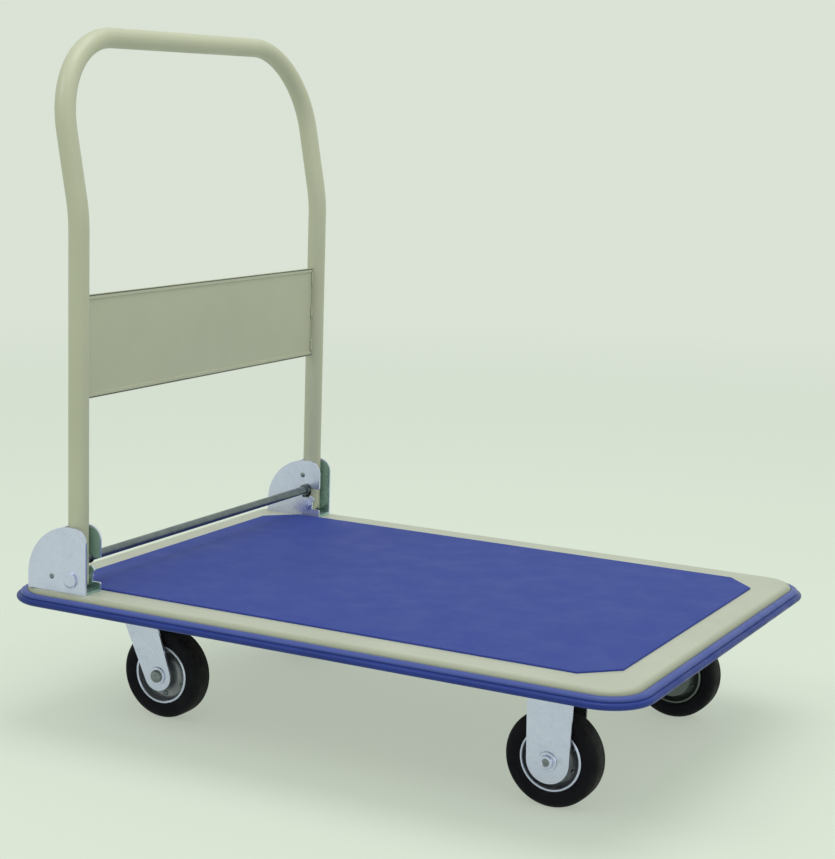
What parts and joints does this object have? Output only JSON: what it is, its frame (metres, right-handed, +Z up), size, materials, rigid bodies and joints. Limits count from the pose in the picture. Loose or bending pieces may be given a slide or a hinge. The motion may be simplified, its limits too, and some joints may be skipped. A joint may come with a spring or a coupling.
{
  "type": "folding platform cart",
  "caption": "Flat-deck hand cart with a mat, an edge bumper, fixed and swivel casters, and a push handle that folds down onto the deck when its sprung lock rod is lifted.",
  "frame": {"origin": "on the floor under the middle of the deck", "axes": "+X from the handle end to the front end, +Y across to the left of the person pushing, +Z up"},
  "size_m": [0.74, 0.55, 0.754],
  "materials": {
    "cream_paint": "satin powder coat",
    "handle_paint": "satin powder coat",
    "mat_vinyl": "matt grained sheet",
    "bumper_vinyl": "smooth soft plastic",
    "zinc": "bright zinc plating",
    "bare_steel": "machined",
    "dark_rod": "zinc plated rod",
    "tyre_rubber": "moulded",
    "hub_zinc": "pressed and zinc plated"
  },
  "bodies": {
    "deck": {"bracket_nuts": "zinc", "bracket_screws": "zinc", "deck_mat": "mat_vinyl", "deck_plate": "cream_paint", "edge_bumper": "bumper_vinyl", "front_caster_bolts": "zinc", "front_caster_nuts": "zinc", "front_cross_member": "cream_paint", "front_left_axle_bolt": "zinc", "front_left_axle_nut": "zinc", "front_left_axle_tube": "bare_steel", "front_left_fork": "zinc", "front_right_axle_bolt": "zinc", "front_right_axle_nut": "zinc", "front_right_axle_tube": "bare_steel", "front_right_fork": "zinc", "left_handle_bracket": "zinc", "left_stiffener": "cream_paint", "pivot_bolts": "zinc", "pivot_nuts": "zinc", "rear_caster_bolts": "zinc", "rear_caster_nuts": "zinc", "rear_cross_member": "cream_paint", "rear_left_ball_ring": "bare_steel", "rear_left_kingpin": "zinc", "rear_left_top_plate": "zinc", "rear_right_ball_ring": "bare_steel", "rear_right_kingpin": "zinc", "rear_right_top_plate": "zinc", "right_handle_bracket": "zinc", "right_stiffener": "cream_paint"},
    "handle": {"handle_panel": "handle_paint", "handle_tube": "handle_paint", "left_lock_spring": "bare_steel", "pivot_bushes": "bare_steel", "right_lock_spring": "bare_steel", "spring_pins": "zinc"},
    "lock_rod": {"lock_rod": "dark_rod", "rod_clips": "dark_rod"},
    "right_swivel": {"rear_right_axle_bolt": "zinc", "rear_right_axle_nut": "zinc", "rear_right_axle_tube": "bare_steel", "rear_right_fork": "zinc"},
    "left_swivel": {"rear_left_axle_bolt": "zinc", "rear_left_axle_nut": "zinc", "rear_left_axle_tube": "bare_steel", "rear_left_fork": "zinc"},
    "front_right_wheel": {"front_right_bearings": "bare_steel", "front_right_rim": "hub_zinc", "front_right_tyre": "tyre_rubber"},
    "front_left_wheel": {"front_left_bearings": "bare_steel", "front_left_rim": "hub_zinc", "front_left_tyre": "tyre_rubber"},
    "rear_right_wheel": {"rear_right_bearings": "bare_steel", "rear_right_rim": "hub_zinc", "rear_right_tyre": "tyre_rubber"},
    "rear_left_wheel": {"rear_left_bearings": "bare_steel", "rear_left_rim": "hub_zinc", "rear_left_tyre": "tyre_rubber"}
  },
  "joints": [
    {"name": "handle_fold", "type": "hinge", "parent": "deck", "child": "handle", "pos_m": [-0.286, 0, 0.17], "axis": [0, 1, 0], "range_deg": [0, 90]},
    {"name": "lock_rod_slide", "type": "slide", "parent": "handle", "child": "lock_rod", "axis": [0, 0, 1], "range_m": [-0.0048, 0], "stiffness_N_per_m": 400, "springref_m": -0.03, "deforming": ["right_lock_spring", "left_lock_spring"]},
    {"name": "right_swivel_turn", "type": "hinge", "parent": "deck", "child": "right_swivel", "pos_m": [-0.262, -0.148, 0.1], "axis": [0, 0, 1], "continuous": true},
    {"name": "left_swivel_turn", "type": "hinge", "parent": "deck", "child": "left_swivel", "pos_m": [-0.262, 0.148, 0.1], "axis": [0, 0, 1], "continuous": true},
    {"name": "front_right_wheel_spin", "type": "hinge", "parent": "deck", "child": "front_right_wheel", "pos_m": [0.248, -0.171, 0.05], "axis": [0, 1, 0], "continuous": true},
    {"name": "front_left_wheel_spin", "type": "hinge", "parent": "deck", "child": "front_left_wheel", "pos_m": [0.248, 0.171, 0.05], "axis": [0, 1, 0], "continuous": true},
    {"name": "rear_right_wheel_spin", "type": "hinge", "parent": "right_swivel", "child": "rear_right_wheel", "pos_m": [-0.235, -0.148, 0.05], "axis": [0, 1, 0], "continuous": true},
    {"name": "rear_left_wheel_spin", "type": "hinge", "parent": "left_swivel", "child": "rear_left_wheel", "pos_m": [-0.235, 0.148, 0.05], "axis": [0, 1, 0], "continuous": true}
  ]
}
